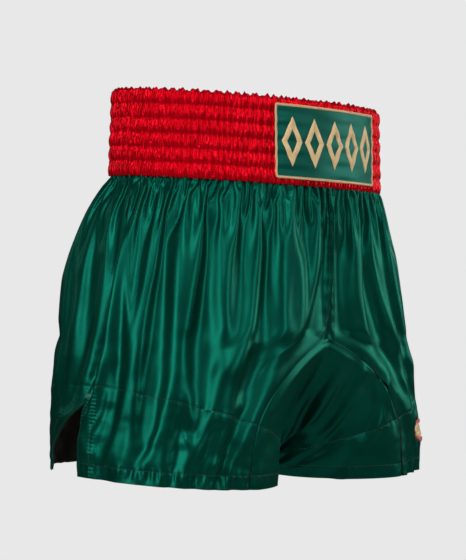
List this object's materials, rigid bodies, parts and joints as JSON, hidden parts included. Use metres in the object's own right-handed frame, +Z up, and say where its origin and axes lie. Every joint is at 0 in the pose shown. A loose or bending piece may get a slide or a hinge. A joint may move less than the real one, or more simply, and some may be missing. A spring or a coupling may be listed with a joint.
{
  "type": "boxing shorts",
  "caption": "Satin Thai boxing shorts with a puffed smocked elastic waistband, a bordered front patch, gathered body, deep faced hems and a slit up each side.",
  "frame": {"origin": "centre of the waist opening, level with the waistband's top edge", "axes": "+Z up, the wearer faces -Y, +X to the wearer's left; the waist and hems tilt about 4 degrees down to the front, as worn"},
  "size_m": [0.4068, 0.2354, 0.3502],
  "materials": {
    "green_satin": "deep green polyester satin, glossy face",
    "patch_satin": "green satin, flat and smooth",
    "red_satin": "bright red polyester satin, smocked",
    "lining": "dull dark wrong side of the satin",
    "elastic_webbing": "woven elastic",
    "braid": "matt gold braid",
    "embroidery": "satin stitch in pale gold thread",
    "seam_thread": "polyester sewing thread"
  },
  "bodies": {
    "root": {"front_panel_right": "green_satin", "back_panel_right": "green_satin", "hem_facing_front_right": "lining", "hem_facing_back_right": "lining", "slit_facing_front_right": "lining", "slit_facing_back_right": "lining", "slit_bartack_right": "seam_thread", "front_panel_left": "green_satin", "back_panel_left": "green_satin", "hem_facing_front_left": "lining", "hem_facing_back_left": "lining", "slit_facing_front_left": "lining", "slit_facing_back_left": "lining", "slit_bartack_left": "seam_thread", "crotch_gusset": "green_satin", "waistband_outer": "red_satin", "waistband_inner": "red_satin", "elastic_band_1": "elastic_webbing", "elastic_band_2": "elastic_webbing", "elastic_band_3": "elastic_webbing", "elastic_band_4": "elastic_webbing", "elastic_band_5": "elastic_webbing", "elastic_band_6": "elastic_webbing", "front_patch": "patch_satin", "patch_border": "braid", "patch_motif_1": "embroidery", "patch_motif_2": "embroidery", "patch_motif_3": "embroidery", "patch_motif_4": "embroidery", "patch_motif_5": "embroidery", "leg_emblem": "embroidery"}
  },
  "joints": []
}
